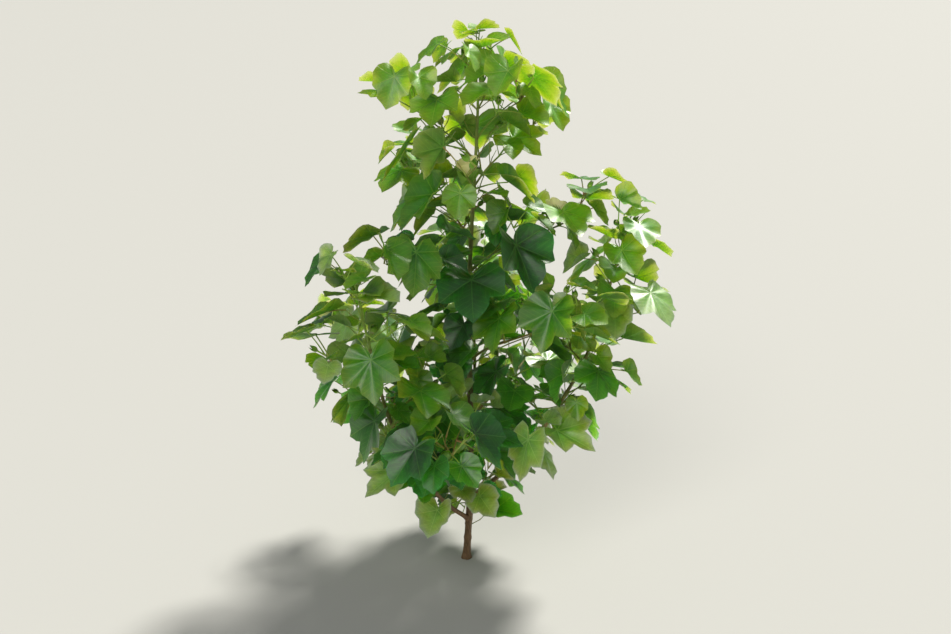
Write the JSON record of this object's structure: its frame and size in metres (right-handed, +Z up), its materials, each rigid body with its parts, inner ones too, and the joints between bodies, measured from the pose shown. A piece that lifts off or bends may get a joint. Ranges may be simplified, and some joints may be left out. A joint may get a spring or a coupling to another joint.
{
  "type": "cotton plant",
  "caption": "Bushy cotton plant in flower: slender stem, side and fruiting branches, broad lobed leaves, buds, cream flowers and green bolls.",
  "frame": {"origin": "middle of the flat cut under the main stem, at ground level", "axes": "+Z up along the stem; -Y towards the side that the picture shows"},
  "size_m": [0.7865, 0.8087, 1.1532],
  "materials": {
    "stem": "matt brown-green bark",
    "branches": "smooth green to tan skin",
    "leaves": "satin leaf",
    "petioles": "smooth green stalk",
    "bracts": "matt green bract",
    "bolls": "satin green boll",
    "petals": "soft cream petal"
  },
  "bodies": {
    "root": {"main_stem": "stem", "side_branch_1": "branches", "side_branch_2": "branches", "side_branch_3": "branches", "fruiting_branch_03": "branches", "fruiting_branch_04": "branches", "fruiting_branch_05": "branches", "fruiting_branch_06": "branches", "fruiting_branch_07": "branches", "fruiting_branch_08": "branches", "fruiting_branch_09": "branches", "fruiting_branch_10": "branches", "branch_leaves_03": "leaves", "stem_leaf_03": "leaves", "branch_leaves_04": "leaves", "stem_leaf_04": "leaves", "branch_leaves_05": "leaves", "stem_leaf_05": "leaves", "branch_leaves_06": "leaves", "stem_leaf_06": "leaves", "branch_leaves_07": "leaves", "stem_leaf_07": "leaves", "branch_leaves_08": "leaves", "stem_leaf_08": "leaves", "branch_leaves_09": "leaves", "stem_leaf_09": "leaves", "branch_leaves_10": "leaves", "stem_leaf_10": "leaves", "branch_leaves_11": "leaves", "branch_leaves_12": "leaves", "branch_leaves_13": "leaves", "branch_leaves_14": "leaves", "branch_leaves_15": "leaves", "branch_leaves_16": "leaves", "side_leaves_1_1": "leaves", "side_leaves_1_2": "leaves", "side_leaves_1_3": "leaves", "side_leaves_1_4": "leaves", "side_leaves_1_5": "leaves", "side_leaves_1_top": "leaves", "side_leaves_2_1": "leaves", "side_leaves_2_2": "leaves", "side_leaves_2_3": "leaves", "side_leaves_2_4": "leaves", "side_leaves_2_5": "leaves", "side_leaves_2_top": "leaves", "side_leaves_3_1": "leaves", "side_leaves_3_2": "leaves", "side_leaves_3_3": "leaves", "side_leaves_3_4": "leaves", "side_leaves_3_5": "leaves", "side_leaves_3_top": "leaves", "growing_tip": "leaves"}
  },
  "joints": []
}
